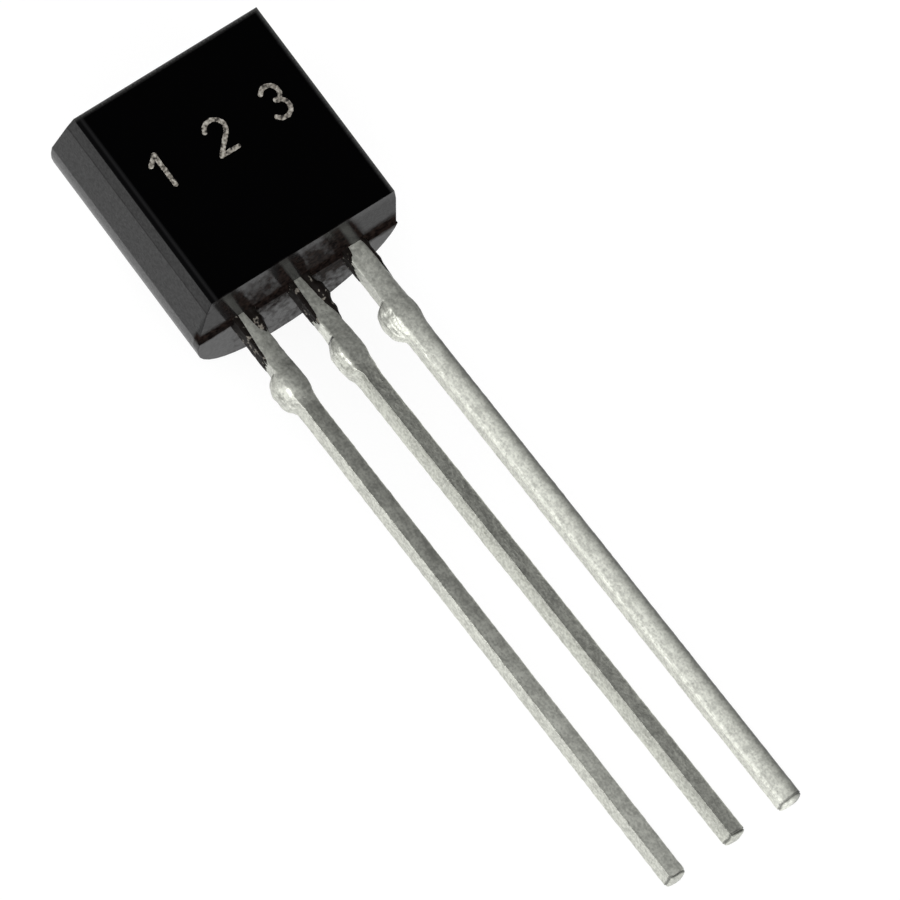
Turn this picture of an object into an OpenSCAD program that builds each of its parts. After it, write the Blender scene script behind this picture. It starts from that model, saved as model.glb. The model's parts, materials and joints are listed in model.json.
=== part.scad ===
// Three-lead transistor in a moulded TO-92 case, lying on its round back as it comes to rest.
// The package is drawn upright about its lead plane: X runs left to right as the flat is seen,
// Y from the leads (-Y) to the top of the case, Z out of the flat. lie() then tips it onto the
// bottom rim of its round back and the tips of its leads, with the origin on the floor.

/* [Case] */
// Width of the case across the mould's parting plane, which is also the round back's diameter
case_w = 4.42; // [4.2:0.02:4.8]
// Height of the front half of the case at the parting plane
case_h = 4.5; // [4.3:0.05:5]
// Depth from the parting plane out to the flat face
flat_depth = 1.32; // [1.2:0.02:1.5]
// Width of the flat face
flat_w = 4.06; // [3.8:0.02:4.2]
// Depth of the sloped strip along each long edge of the flat
edge_depth = 0.34; // [0.1:0.02:0.5]
// Width of that strip, as seen square to the flat
edge_w = 0.07; // [0.02:0.01:0.15]
// Inset of each end of the flat from the parting plane, which is the front mould's draft
front_draft = 0.13; // [0.04:0.01:0.2]
// Inset of each end of the round back from the parting plane, which is the rear mould's draft
rear_draft = 0.075; // [0.02:0.005:0.15]
// How far the rear half stands past the front half at the end with the leads
parting_step = 0.05; // [0.02:0.01:0.1]

/* [Leads] */
// Distance between the centres of neighbouring leads where they leave the case
pitch = 1.24; // [1.2:0.01:1.35]
// Width of the emitter and base leads above their beads
root_w = 0.38; // [0.34:0.01:0.46]
// Width of the emitter and base leads below their beads
lead_w = 0.33; // [0.3:0.01:0.46]
// Width of the collector lead, which took up more tin
collector_w = 0.45; // [0.34:0.01:0.48]
// Thickness of a tinned lead
lead_t = 0.34; // [0.34:0.01:0.42]
// Radius of the tin on the four long edges of the emitter and base leads
lead_edge_r = 0.05; // [0.02:0.01:0.12]
// Radius of the tin on the collector lead's long edges
collector_edge_r = 0.1; // [0.02:0.01:0.12]
// How far the emitter lead steps to the left at its bead
emitter_step = 0.05; // [0:0.01:0.1]
// How far the base lead steps to the left at its bead
base_step = 0.06; // [0:0.01:0.1]
// How far the collector lead steps to the left at its bead
collector_step = 0.02; // [0:0.01:0.1]
// How far the middle of the leads lies behind the parting plane
lead_setback = 0.05; // [0:0.01:0.1]
// Length of the emitter lead outside the case
emitter_len = 12.87; // [10:0.01:14]
// Length of the base lead outside the case
base_len = 12.82; // [10:0.01:14]
// Length of the collector lead outside the case
collector_len = 12.82; // [10:0.01:14]
// Angle by which the emitter lead is bent to the right, in degrees
emitter_splay = 1.2; // [-1:0.1:2]
// Angle by which the base lead is bent to the right, in degrees
base_splay = 1.75; // [-1:0.05:2]
// Angle by which the collector lead is bent to the right, in degrees
collector_splay = 1.6; // [-1:0.1:2]
// Twist that shearing the tie bar left in the emitter lead beyond its bead, in degrees
emitter_twist = 9; // [-30:1:30]
// The same twist of the base lead
base_twist = 19; // [-30:1:30]
// The same twist of the collector lead
collector_twist = 2; // [-30:1:30]

/* [Beads] */
// Distance from the case to the middle of the bead of tin over each outer lead's sheared tie bar
bead_pos = 1.56; // [1.3:0.02:2]
// The same distance on the base lead
base_bead_pos = 1.58; // [1.3:0.02:2]
// Length of a bead along its lead
bead_len = 0.7; // [0.6:0.02:1.1]
// How far a bead's middle stands past its lead in front, behind and on the right
bead_cover = 0.01; // [0.01:0.01:0.05]
// How far it stands past the left side of its lead, apart from the stub
bead_rise = 0.04; // [0.04:0.01:0.1]
// Thickness of the tinned stub of tie bar that stands out to the left of a bead
stub_t = 0.22; // [0.2:0.01:0.32]
// Height of the emitter lead's stub
emitter_stub = 0.2; // [0.06:0.01:0.3]
// Height of the base lead's stub
base_stub = 0.09; // [0.06:0.01:0.3]
// Height of the collector lead's stub
collector_stub = 0.23; // [0.06:0.01:0.3]

/* [Lead frame inside the case] */
// Thickness of the stamped frame
frame_t = 0.33; // [0.3:0.01:0.34]
// Width of the cross bar that locks each lead into the case
anchor_w = 0.74; // [0.5:0.02:0.9]
// Height of that cross bar
anchor_h = 0.35; // [0.2:0.05:0.45]
// Height of the cross bar's lower edge above the bottom of the case
anchor_y = 0.5; // [0.4:0.05:0.6]
// Width and height of the two pads that take a wire
bond_pad = [0.62, 0.5]; // [0.4:0.02:0.7]
// Width and height of the die paddle
paddle = [2.1, 1.6]; // [1.4:0.1:2.2]
// Height of the paddle's lower edge above the bottom of the case
paddle_y = 1.85; // [1.8:0.05:2]

/* [Die and wires] */
// Side of the square silicon die
die_side = 0.5; // [0.3:0.05:0.7]
// Thickness of the die
die_t = 0.2; // [0.15:0.01:0.3]
// Side of the solder layer under the die
attach_side = 0.6; // [0.5:0.05:0.8]
// Thickness of that layer
attach_t = 0.03; // [0.02:0.01:0.05]
// Diameter of a gold bond wire
wire_d = 0.05; // [0.05:0.01:0.08]
// Height of a wire's level run above the top of the die
wire_loop = 0.36; // [0.25:0.01:0.5]
// Radius of a wire's two bends, along its middle
wire_bend = 0.12; // [0.08:0.01:0.2]
// Length of the emitter wire as seen square to the flat
emitter_wire_run = 1.5; // [1.4:0.05:1.6]
// Direction of the emitter wire, in degrees from left to right
emitter_wire_heading = 214; // [210:1:218]
// Length of the base wire as seen square to the flat
base_wire_run = 1.2; // [1.1:0.05:1.3]
// Direction of the base wire, in degrees from left to right
base_wire_heading = 260; // [255:1:265]

/* [Hidden] */
$fn = 48;

case_r = case_w / 2;
lead_z = -lead_setback;
// The leads run on this far inside the case, into their anchors
lead_root = anchor_y + anchor_h / 2;

// Each lead: its section (width and edge radius), length outside the case, splay, twist, its
// bead (distance from the case and height of the stub), and its root (width and step)
emitter = [[lead_w, lead_edge_r], emitter_len, emitter_splay, emitter_twist,
    [bead_pos, emitter_stub], [root_w, emitter_step]];
base = [[lead_w, lead_edge_r], base_len, base_splay, base_twist, [base_bead_pos, base_stub],
    [root_w, base_step]];
collector = [[collector_w, collector_edge_r], collector_len, collector_splay, collector_twist,
    [bead_pos, collector_stub], [collector_w, collector_step]];

// Half the width of a lead's section, and half its thickness, without the rounded edges
function inner_w(section) = section[0] / 2 - section[1];
function inner_t(section) = lead_t / 2 - section[1];
// How far a lead's tip reaches from the case, and half its height once it is twisted
function reach(lead) = lead[1] * cos(lead[2]) + inner_w(lead[0]) * sin(abs(lead[2]));
function half_height(lead) = lead[0][1] + inner_t(lead[0]) * cos(lead[3])
    + inner_w(lead[0]) * sin(abs(lead[3]));
// Slope of the line from the rim of the round back to the underside of a lead's tip
function slope(lead) = (case_r + lead_z - half_height(lead)) / (rim_y + reach(lead));

// The case rests on the rim of its round back, and the lead that touches first sets the tilt
rim_y = rear_draft - parting_step;
tilt = atan(min([for (lead = [emitter, base, collector]) slope(lead)]));
floor_z = rim_y * sin(tilt) - case_r * cos(tilt);
top_y = (case_h - rear_draft) * cos(tilt) + case_r * sin(tilt);
bottom_y = -max([for (lead = [emitter, base, collector])
    reach(lead) * cos(tilt) + (lead_z + half_height(lead)) * sin(tilt)]);

frame_top = lead_z + frame_t / 2;
die_top = frame_top + attach_t + die_t;
loop_z = die_top + wire_loop;
die_x = 0.1;
die_y = paddle_y + paddle[1] / 2;
emitter_pad_y = paddle_y - 0.4;
base_pad_y = paddle_y - 0.75;
// Where each wire leaves the die
emitter_wire_start = [die_x - 0.12, die_y - 0.05, die_top];
base_wire_start = [die_x + 0.1, die_y - 0.12, die_top];

// Tips the upright package into its resting place, with the origin under its middle
module lie() {
    translate([0, -(top_y + bottom_y) / 2, -floor_z]) rotate([tilt, 0, 0]) children();
}

// Front half seen along Y: the sides slope in to the strips beside the flat
module front_outline() {
    polygon([
        [-case_r, 0], [case_r, 0],
        [flat_w / 2 + edge_w, flat_depth - edge_depth], [flat_w / 2, flat_depth],
        [-flat_w / 2, flat_depth], [-flat_w / 2 - edge_w, flat_depth - edge_depth]
    ]);
}

// Rear half seen along Y
module rear_outline() {
    intersection() {
        circle(r = case_r);
        translate([-case_r, -case_r]) square([case_w, case_r]);
    }
}

// Both halves seen along X, with their drafted ends and the step between the lower ones
module side_outline() {
    polygon([
        [0, 0], [front_draft, flat_depth], [case_h - front_draft, flat_depth], [case_h, 0],
        [case_h - rear_draft, -case_r], [rim_y, -case_r], [-parting_step, 0]
    ]);
}

// Solid whose section square to Y is the child outline, as tall as the case and a little more
module along_case() {
    translate([0, case_h + 2 * parting_step, 0]) rotate([90, 0, 0])
        linear_extrude(case_h + 4 * parting_step) children();
}

module case_outer() {
    intersection() {
        along_case() {
            front_outline();
            rear_outline();
        }
        translate([-case_w, 0, 0]) rotate([90, 0, 90]) linear_extrude(2 * case_w) side_outline();
    }
}

// Flat blank of the frame: w wide about x, from y up by h
module blank(x, y, w, h) {
    translate([x - w / 2, y, lead_z - frame_t / 2]) cube([w, h, frame_t]);
}

// Section of a tinned lead, with rounded corners
module lead_section(section) {
    x = inner_w(section);
    y = inner_t(section);
    square([section[0], 2 * y], center = true);
    square([2 * x, lead_t], center = true);
    for (side = [-x, x], face = [-y, y]) translate([side, face]) circle(r = section[1]);
}

// Straight length of lead that ends at y and starts len above it
module lead_run(section, y, len, twist) {
    translate([0, y, 0]) rotate([-90, 0, 0]) rotate([0, 0, twist]) linear_extrude(len)
        lead_section(section);
}

// Plate that stands out by rise to the right of a lead of width w, with an arc as its edge
module bead_side(w, rise, t) {
    crown = rise + lead_edge_r;
    arc_r = (pow(bead_len / 2, 2) + pow(crown, 2)) / (2 * crown);
    translate([0, 0, -t / 2]) linear_extrude(t) intersection() {
        translate([w / 2 + rise - arc_r, 0]) circle(r = arc_r);
        translate([-lead_edge_r, -bead_len / 2]) square([w + rise, bead_len]);
    }
}

// Bead of tin over the stub of a lead's sheared tie bar, which hides the start of the twist
module bead(lead) {
    w = lead[0][0];
    t = 2 * (half_height(lead) + bead_cover);
    bead_side(w, lead[5][1] + (lead[5][0] - w) / 2 + bead_cover, t);
    mirror([1, 0, 0]) {
        bead_side(w, bead_rise, t);
        bead_side(w, lead[4][1], stub_t);
    }
}

// Lead that leaves the case at x: square to it down to its bead, and twisted below that
module lead(x, lead) {
    section = lead[0];
    root = [lead[5][0], section[1]];
    step = lead[5][1];
    bead_y = lead[4][0];
    overlap = lead_edge_r;
    translate([x - step, 0, lead_z]) rotate([0, 0, lead[2]]) {
        translate([step, 0, 0]) lead_run(root, -bead_y - overlap, bead_y + overlap + lead_root, 0);
        lead_run(section, -lead[1], lead[1] - bead_y + overlap, lead[3]);
        translate([0, -bead_y, 0]) bead(lead);
    }
}

module emitter_shape() {
    lead(-pitch, emitter);
    blank(-pitch, anchor_y, anchor_w, anchor_h);
    blank(-pitch, anchor_y, root_w, emitter_pad_y - anchor_y + bond_pad[1]);
    blank(-pitch, emitter_pad_y, bond_pad[0], bond_pad[1]);
}

module base_shape() {
    lead(0, base);
    blank(0, anchor_y, anchor_w, anchor_h);
    blank(0, anchor_y, root_w, base_pad_y - anchor_y + bond_pad[1]);
    blank(0, base_pad_y, bond_pad[0], bond_pad[1]);
}

// The collector's post turns in over the base pad and ends in the paddle under the die
module collector_shape() {
    lead(pitch, collector);
    blank(pitch, anchor_y, anchor_w, anchor_h);
    blank(pitch, anchor_y, collector_w, paddle_y - anchor_y + paddle[1]);
    blank(pitch + (collector_w - paddle[0]) / 2, paddle_y, paddle[0], paddle[1]);
}

// Square layer on the paddle, centred under the die
module layer(side, z, t) {
    translate([die_x - side / 2, die_y - side / 2, z]) cube([side, side, t]);
}

module attach_shape() {
    layer(attach_side, frame_top, attach_t);
}

module die_shape() {
    layer(die_side, frame_top + attach_t, die_t);
}

// Quarter bend of wire in the XZ plane about the origin, starting at the given angle
module wire_corner(start) {
    rotate([90, 0, 0]) rotate([0, 0, start]) rotate_extrude(angle = 90)
        translate([wire_bend, 0]) circle(d = wire_d);
}

// Bond wire that rises from the die, bends over, runs level and drops to a pad of the frame
module wire_shape(start, heading, run) {
    rise = wire_loop - wire_bend;
    drop = loop_z - frame_top - wire_bend;
    translate(start) rotate([0, 0, heading]) {
        cylinder(d = wire_d, h = rise);
        translate([wire_bend, 0, rise]) wire_corner(90);
        translate([wire_bend, 0, rise + wire_bend]) rotate([0, 90, 0])
            cylinder(d = wire_d, h = run - 2 * wire_bend);
        translate([run - wire_bend, 0, rise]) wire_corner(0);
        translate([run, 0, rise - drop]) cylinder(d = wire_d, h = drop);
    }
}

module emitter_wire_shape() {
    wire_shape(emitter_wire_start, emitter_wire_heading, emitter_wire_run);
}

module base_wire_shape() {
    wire_shape(base_wire_start, base_wire_heading, base_wire_run);
}

// Black epoxy, moulded round everything that sits inside it
module case() {
    color("#26262a") lie() difference() {
        case_outer();
        emitter_shape();
        base_shape();
        collector_shape();
        attach_shape();
        die_shape();
        emitter_wire_shape();
        base_wire_shape();
    }
}

module emitter_lead() {
    color("#b9b9b3") lie() emitter_shape();
}

module base_lead() {
    color("#b9b9b3") lie() base_shape();
}

module collector_lead() {
    color("#b9b9b3") lie() collector_shape();
}

module die_attach() {
    color("#c8c8c0") lie() attach_shape();
}

module die() {
    color("#5a5f6a") lie() die_shape();
}

module emitter_wire() {
    color("#d9b34a") lie() emitter_wire_shape();
}

module base_wire() {
    color("#d9b34a") lie() base_wire_shape();
}

case();
emitter_lead();
base_lead();
collector_lead();
die_attach();
die();
emitter_wire();
base_wire();
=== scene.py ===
import json
from math import atan2, cos, pi, radians, sin, tan, tau

import bpy
from mathutils import Matrix, Vector, noise


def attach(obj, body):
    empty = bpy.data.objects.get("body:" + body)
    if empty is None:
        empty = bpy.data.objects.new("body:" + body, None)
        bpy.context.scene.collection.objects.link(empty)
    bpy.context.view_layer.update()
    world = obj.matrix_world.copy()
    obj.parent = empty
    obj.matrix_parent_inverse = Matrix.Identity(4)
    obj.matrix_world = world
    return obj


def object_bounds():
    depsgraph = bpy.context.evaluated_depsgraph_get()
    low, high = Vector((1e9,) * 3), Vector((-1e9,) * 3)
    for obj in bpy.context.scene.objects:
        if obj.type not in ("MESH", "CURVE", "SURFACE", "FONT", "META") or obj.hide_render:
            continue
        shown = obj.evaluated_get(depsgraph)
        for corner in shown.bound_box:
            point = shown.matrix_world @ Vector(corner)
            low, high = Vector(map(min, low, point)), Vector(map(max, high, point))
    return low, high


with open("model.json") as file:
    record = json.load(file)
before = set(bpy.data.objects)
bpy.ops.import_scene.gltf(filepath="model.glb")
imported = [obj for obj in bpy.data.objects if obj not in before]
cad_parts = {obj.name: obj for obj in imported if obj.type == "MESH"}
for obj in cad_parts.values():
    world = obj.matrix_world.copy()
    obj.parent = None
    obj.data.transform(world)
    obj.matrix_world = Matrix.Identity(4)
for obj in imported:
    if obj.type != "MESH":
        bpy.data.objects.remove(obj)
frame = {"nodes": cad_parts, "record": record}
cad_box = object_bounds()

# ---- Camera ------------------------------------------------------------------------------
# A long lens looks down on the flat of the case from over the left-hand lead. It is rolled
# a little, so that the leads run down to the right.
AIM_FROM_MIDDLE = (0.23e-3, -0.243e-3, -0.064e-3)
LOOK_AZIMUTH, LOOK_HEIGHT, LOOK_ROLL = radians(-42.75), radians(60.3), radians(6.71)
LOOK_DISTANCE = 0.3
SENSOR, LENS = 36, 674.7

aim = (cad_box[0] + cad_box[1]) / 2 + Vector(AIM_FROM_MIDDLE)
towards_camera = Vector((cos(LOOK_HEIGHT) * sin(LOOK_AZIMUTH),
                         -cos(LOOK_HEIGHT) * cos(LOOK_AZIMUTH), sin(LOOK_HEIGHT)))
level_right = Vector((0, 0, 1)).cross(towards_camera).normalized()
camera_right = Matrix.Rotation(LOOK_ROLL, 3, towards_camera) @ level_right
camera_up = towards_camera.cross(camera_right)

camera_data = bpy.data.cameras.new("camera")
camera_data.sensor_width = SENSOR
camera_data.lens = LENS
camera_data.clip_start = LOOK_DISTANCE / 10
camera_data.clip_end = LOOK_DISTANCE * 20
camera = bpy.data.objects.new("camera", camera_data)
camera.matrix_world = (
    Matrix.Translation(aim + LOOK_DISTANCE * towards_camera)
    @ Matrix((camera_right, camera_up, towards_camera)).transposed().to_4x4())
bpy.context.scene.collection.objects.link(camera)
bpy.context.scene.camera = camera
bpy.context.scene.view_settings.view_transform = "Standard"

# ---- Table and studio light --------------------------------------------------------------
# The part lies on a white table under soft boxes: a large one over the flat's left side, and
# two low ones past its two ends. The room behind them is dim, and white down at the table.
TABLE_RADIUS, TABLE_SIDES = 1.5, 64
TABLE_WHITE, PAPER_SPREAD, PAPER_SCALE = 0.8, 0.01, 900.0
# How much of the table's own glow is seen in place of its paint, and how strong that glow is
GLOW_SHARE, GLOW_STRENGTH = 0.8, 1.12
BOX_DISTANCE = 0.5
SOFT_BOXES = [
    # name, direction, size in metres, radiance
    ("key_box", (-0.5, -0.26, 0.83), 0.4, 2.3),
    ("tip_box", (-0.25, -0.85, 0.46), 0.3, 3.6),
    ("top_box", (0.1, 0.88, 0.46), 0.3, 3.6),
]
# (height, from the horizon at 0 to straight up at 1, and how bright the room is there)
ROOM_SHADES = [(0, 1.0), (0.12, 0.85), (0.36, 0.25), (1, 0.14)]


def add(tree, kind, sockets=None, **settings):
    """Node of that kind, with its settings, and with its sockets set or linked."""
    made = tree.nodes.new(kind)
    for setting, value in settings.items():
        setattr(made, setting, value)
    for socket, value in (sockets or {}).items():
        if isinstance(value, bpy.types.NodeSocket):
            tree.links.new(value, made.inputs[socket])
        else:
            made.inputs[socket].default_value = value
    return made


def maths(tree, operation, first, second=0, clamp=False):
    """Result of a calculation on one or two values, each a number or a socket."""
    return add(tree, "ShaderNodeMath", {0: first, 1: second}, operation=operation,
               use_clamp=clamp).outputs[0]


def plus(tree, first, second, clamp=False):
    return maths(tree, "ADD", first, second, clamp)


def minus(tree, first, second, clamp=False):
    return maths(tree, "SUBTRACT", first, second, clamp)


def times(tree, first, second, clamp=False):
    return maths(tree, "MULTIPLY", first, second, clamp)


def steps(tree, value, stops):
    """Colour ramp over value, whose stops are (position, grey or colour)."""
    ramp = add(tree, "ShaderNodeValToRGB", {0: value})
    while len(ramp.color_ramp.elements) < len(stops):
        ramp.color_ramp.elements.new(1)
    for element, (position, colour) in zip(ramp.color_ramp.elements, stops):
        element.position = position
        element.color = (colour,) * 3 + (1,) if isinstance(colour, (int, float)) else (*colour, 1)
    return ramp.outputs[0]


table_paint = bpy.data.materials.new("white_table")
table_paint.use_nodes = True
tree = table_paint.node_tree
tree.nodes.clear()
rays = add(tree, "ShaderNodeLightPath").outputs
seen = plus(tree, rays["Is Camera Ray"], rays["Is Glossy Ray"])
seen = plus(tree, seen, rays["Is Transmission Ray"], clamp=True)
paper = add(tree, "ShaderNodeTexNoise", {"Scale": PAPER_SCALE, "Detail": 3.0})
paper_white = add(tree, "ShaderNodeMapRange",
                  {"Value": paper.outputs[0], "To Min": TABLE_WHITE - PAPER_SPREAD,
                   "To Max": TABLE_WHITE + PAPER_SPREAD})
painted = add(tree, "ShaderNodeBsdfDiffuse", {"Color": paper_white.outputs[0]})
glow = add(tree, "ShaderNodeEmission", {"Strength": GLOW_STRENGTH})
mixed = add(tree, "ShaderNodeMixShader",
            {0: times(tree, seen, GLOW_SHARE), 1: painted.outputs[0], 2: glow.outputs[0]})
add(tree, "ShaderNodeOutputMaterial", {"Surface": mixed.outputs[0]})

table_mesh = bpy.data.meshes.new("table")
table_mesh.from_pydata(
    [(TABLE_RADIUS * cos(tau * i / TABLE_SIDES), TABLE_RADIUS * sin(tau * i / TABLE_SIDES), 0)
     for i in range(TABLE_SIDES)], [], [list(range(TABLE_SIDES))])
table_mesh.materials.append(table_paint)
table = bpy.data.objects.new("table", table_mesh)
bpy.context.scene.collection.objects.link(table)

for name, direction, size, radiance in SOFT_BOXES:
    lamp_data = bpy.data.lights.new(name, "AREA")
    lamp_data.shape = "SQUARE"
    lamp_data.size = size
    lamp_data.energy = radiance * pi * size ** 2
    lamp = bpy.data.objects.new(name, lamp_data)
    direction = Vector(direction).normalized()
    lamp.location = direction * BOX_DISTANCE
    lamp.rotation_euler = direction.to_track_quat("Z", "Y").to_euler()
    lamp.visible_camera = False
    bpy.context.scene.collection.objects.link(lamp)

room = bpy.data.worlds.new("room")
room.use_nodes = True
bpy.context.scene.world = room
tree = room.node_tree
tree.nodes.clear()
sky = add(tree, "ShaderNodeTexCoord")
height = add(tree, "ShaderNodeSeparateXYZ", {0: sky.outputs["Generated"]})
backdrop = add(tree, "ShaderNodeBackground",
               {"Color": steps(tree, height.outputs["Z"], ROOM_SHADES)})
add(tree, "ShaderNodeOutputWorld", {"Surface": backdrop.outputs[0]})

# ---- Case --------------------------------------------------------------------------------
# The case is black epoxy, moulded in one shot round the lead frame. The mould leaves a
# polished flat and finely grained sides, and flux has stained it where the leads come out.
CASE_HEIGHT, FLAT_DEPTH = 4.5e-3, 1.32e-3
MM = 0.001
# Places on the case in millimetres: X across it from its middle, Y up from its lower end, and
# Z out from its parting plane. A pair is where a mask begins and where it is full.
PITCH = 1.24
FLAT_HALF, FLAT_TOP = 2.03, 4.37
LOWER_END, LEFT_SLOPE, REAR_TO_FRONT = (0.16, 0.1), (-1.95, -2.05), (-0.05, 0.05)
# Below the flat, the depths between which its colour gives way to the sides'
FLAT_SKIN = (-0.02, -0.005)
# Width of the painted highlight along the flat's top and right edges, and how far its inner side
# strays
EDGE_HIGHLIGHT_WIDTH, EDGE_HIGHLIGHT_RAGGED = 0.08, 0.03
# Bands: middle, half width, and how softly each ends. The line of painted highlight and the paler
# band of painted highlight beside it count from the flat's left edge.
CREASE, CREASE_SHADE_SHARE = (0.98, 0.01, 0.02), 0.6
RIDGE_HIGHLIGHT, BESIDE, BESIDE_SHARE = (0.11, 0.006, 0.05), (0.05, 0.06, 0.05), 0.2
# The flat's black, and the grey of the painted highlight along its left edge
FLAT_BLACK, RIDGE_HIGHLIGHT_GREY = (0.0006, 0.0006, 0.0007), (0.0125, 0.0125, 0.013)
SIDE_BLACK, SIDE_SPREAD = (0.012, 0.012, 0.0122), (0.6, 1.4)
# Colours of the painted shade along the crease and of the painted highlight on the flat's top and
# right edges
CREASE_SHADE_BLACK, EDGE_HIGHLIGHT_GREY = (0.004, 0.003, 0.003), (0.06, 0.06, 0.059)
# How strongly each surface mirrors; for the lower end, as a share of the sides
SIDE_GLOSS, CREASE_GLOSS, EDGE_HIGHLIGHT_GLOSS, FLAT_GLOSS, STRIP_GLOSS = 0.15, 0.075, 0.5, 0.03, 0.5
REAR_END_GLOSS, FRONT_END_GLOSS = 0.15, 0.34
GLOSS_SPREAD = (0.75, 1.25)
SIDE_ROUGH, FLAT_ROUGH, END_ROUGH = (0.26, 0.36), 0.2, 0.13
# Grains: how fine they are per millimetre, and how detailed
MOTTLE, FINE = (16, 5), (22, 3)
# The range that most of a grain's values lie in
GRAIN_RANGE = (0.3, 0.7)
EPOXY_EDGE, EPOXY_BUMP, BUMP_STRENGTH = 0.025e-3, 0.0012e-3, 0.7

flat = next(m for m in frame["record"]["mounts"] if m["name"] == "flat")
out_of_flat = Vector(flat["axis"])
across = Vector((1, 0, 0))
up_case = out_of_flat.cross(across)
package_origin = (Vector(flat["pos_m"]) - up_case * CASE_HEIGHT / 2
                  - out_of_flat * FLAT_DEPTH)
lean = atan2(up_case.z, up_case.y)
PACKAGE = (Matrix.Translation(package_origin)
           @ Matrix((across, up_case, out_of_flat)).transposed().to_4x4()
           @ Matrix.Scale(MM, 4))


def package_place(tree):
    """The shaded point in millimetres: across the flat, up the case, and out of the flat."""
    place = add(tree, "ShaderNodeTexCoord")
    mapped = add(tree, "ShaderNodeMapping",
                 {"Vector": place.outputs["Object"], "Location": package_origin,
                  "Rotation": (lean, 0, 0), "Scale": (MM, MM, MM)}, vector_type="TEXTURE")
    return mapped.outputs[0]


def finish(name, **values):
    """New material, its node tree and its shader, with the uniform values set on the shader."""
    made = bpy.data.materials.new(name)
    made.use_nodes = True
    shader = made.node_tree.nodes["Principled BSDF"]
    for socket, value in values.items():
        shader.inputs[socket.replace("_", " ")].default_value = value
    return made, made.node_tree, shader


def grain(tree, place, scale, detail=2.0, stretch=(1, 1, 1)):
    """Noise from 0 to 1 over the package, with scale given per millimetre."""
    stretched = add(tree, "ShaderNodeMapping", {"Vector": place, "Scale": stretch})
    return add(tree, "ShaderNodeTexNoise",
               {"Vector": stretched.outputs[0], "Scale": scale, "Detail": detail}).outputs[0]


def between(tree, value, low, high, to_low=0.0, to_high=1.0):
    """Value carried from the range low to high into the range to_low to to_high."""
    return add(tree, "ShaderNodeMapRange",
               {"Value": value, "From Min": low, "From Max": high, "To Min": to_low,
                "To Max": to_high}).outputs[0]


def band(tree, value, middle, half, soft, start=0):
    """1 where value is within half of middle, falling to 0 over a further width of soft.

    The middle counts from start.
    """
    away = maths(tree, "ABSOLUTE", minus(tree, value, start + middle))
    return between(tree, away, half + soft, half)


def shift(tree, factor, first, second):
    """Number that goes from first to second with the factor."""
    return add(tree, "ShaderNodeMix", {0: factor, 2: first, 3: second}).outputs[0]


def blend(tree, factor, first, second):
    """Colour that goes from first to second with the factor."""
    mix = add(tree, "ShaderNodeMix", {0: factor}, data_type="RGBA")
    for socket, value in ((6, first), (7, second)):
        if isinstance(value, bpy.types.NodeSocket):
            tree.links.new(value, mix.inputs[socket])
        else:
            mix.inputs[socket].default_value = (*value, 1)
    return mix.outputs[2]


def roughen(tree, shader, height, distance, strength=1.0, rounding=None):
    """Links a bump of that height in metres to the shader, over edges rounded by rounding."""
    bump = add(tree, "ShaderNodeBump",
               {"Height": height, "Distance": distance, "Strength": strength})
    if rounding:
        rounded = add(tree, "ShaderNodeBevel", {"Radius": rounding}, samples=4)
        tree.links.new(rounded.outputs[0], bump.inputs["Normal"])
    tree.links.new(bump.outputs[0], shader.inputs["Normal"])


epoxy, tree, shader = finish("black_epoxy", IOR=1.5)
place = package_place(tree)
at = add(tree, "ShaderNodeSeparateXYZ", {0: place}).outputs
mottle = grain(tree, place, *MOTTLE)
fine = grain(tree, place, *FINE)
lower_end = between(tree, at["Y"], *LOWER_END)
# The polished flat stops a little short of its top and right edges, where a painted highlight
# runs along them
on_flat = between(tree, at["Z"], *(FLAT_DEPTH / MM + skin for skin in FLAT_SKIN))
edge_highlight = on_flat
for edge, limit in (("X", FLAT_HALF), ("Y", FLAT_TOP)):
    ragged = plus(tree, at[edge], times(tree, fine, EDGE_HIGHLIGHT_RAGGED))
    on_flat = times(tree, on_flat, between(tree, ragged, limit, limit - EDGE_HIGHLIGHT_WIDTH))
edge_highlight = minus(tree, edge_highlight, on_flat)
# A thin line of painted highlight runs along the flat's left edge, and a soft line of painted
# shade along the crease
ridge_highlight, beside = (band(tree, at["X"], *line, start=-FLAT_HALF) for line in (RIDGE_HIGHLIGHT, BESIDE))
ridge_highlight = times(tree, maths(tree, "MAXIMUM", ridge_highlight, times(tree, beside, BESIDE_SHARE)), on_flat)
crease = times(tree, band(tree, at["Z"], *CREASE), between(tree, at["X"], *LEFT_SLOPE))
side_colour = blend(tree, between(tree, mottle, *GRAIN_RANGE),
                    *([channel * share for channel in SIDE_BLACK] for share in SIDE_SPREAD))
# The painted highlight along the flat's top and right edges lightens the colour there
side_colour = blend(tree, edge_highlight, side_colour, EDGE_HIGHLIGHT_GREY)
# Painted shade along the crease darkens the sides there
side_colour = blend(tree, times(tree, crease, CREASE_SHADE_SHARE), side_colour, CREASE_SHADE_BLACK)
flat_colour = blend(tree, ridge_highlight, FLAT_BLACK, RIDGE_HIGHLIGHT_GREY)
tree.links.new(blend(tree, on_flat, side_colour, flat_colour), shader.inputs["Base Color"])
end_gloss = between(tree, at["Z"], *REAR_TO_FRONT, REAR_END_GLOSS, FRONT_END_GLOSS)
side_gloss = times(tree, between(tree, crease, 0, 1, SIDE_GLOSS, CREASE_GLOSS),
                   between(tree, lower_end, 0, 1, 1, end_gloss))
side_gloss = times(tree, side_gloss, between(tree, mottle, *GRAIN_RANGE, *GLOSS_SPREAD))
side_gloss = plus(tree, side_gloss, times(tree, edge_highlight, EDGE_HIGHLIGHT_GLOSS))
gloss = shift(tree, on_flat, side_gloss, FLAT_GLOSS)
roughness = shift(tree, lower_end, between(tree, fine, *GRAIN_RANGE, *SIDE_ROUGH), END_ROUGH)
tree.links.new(shift(tree, on_flat, roughness, FLAT_ROUGH), shader.inputs["Roughness"])
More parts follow.
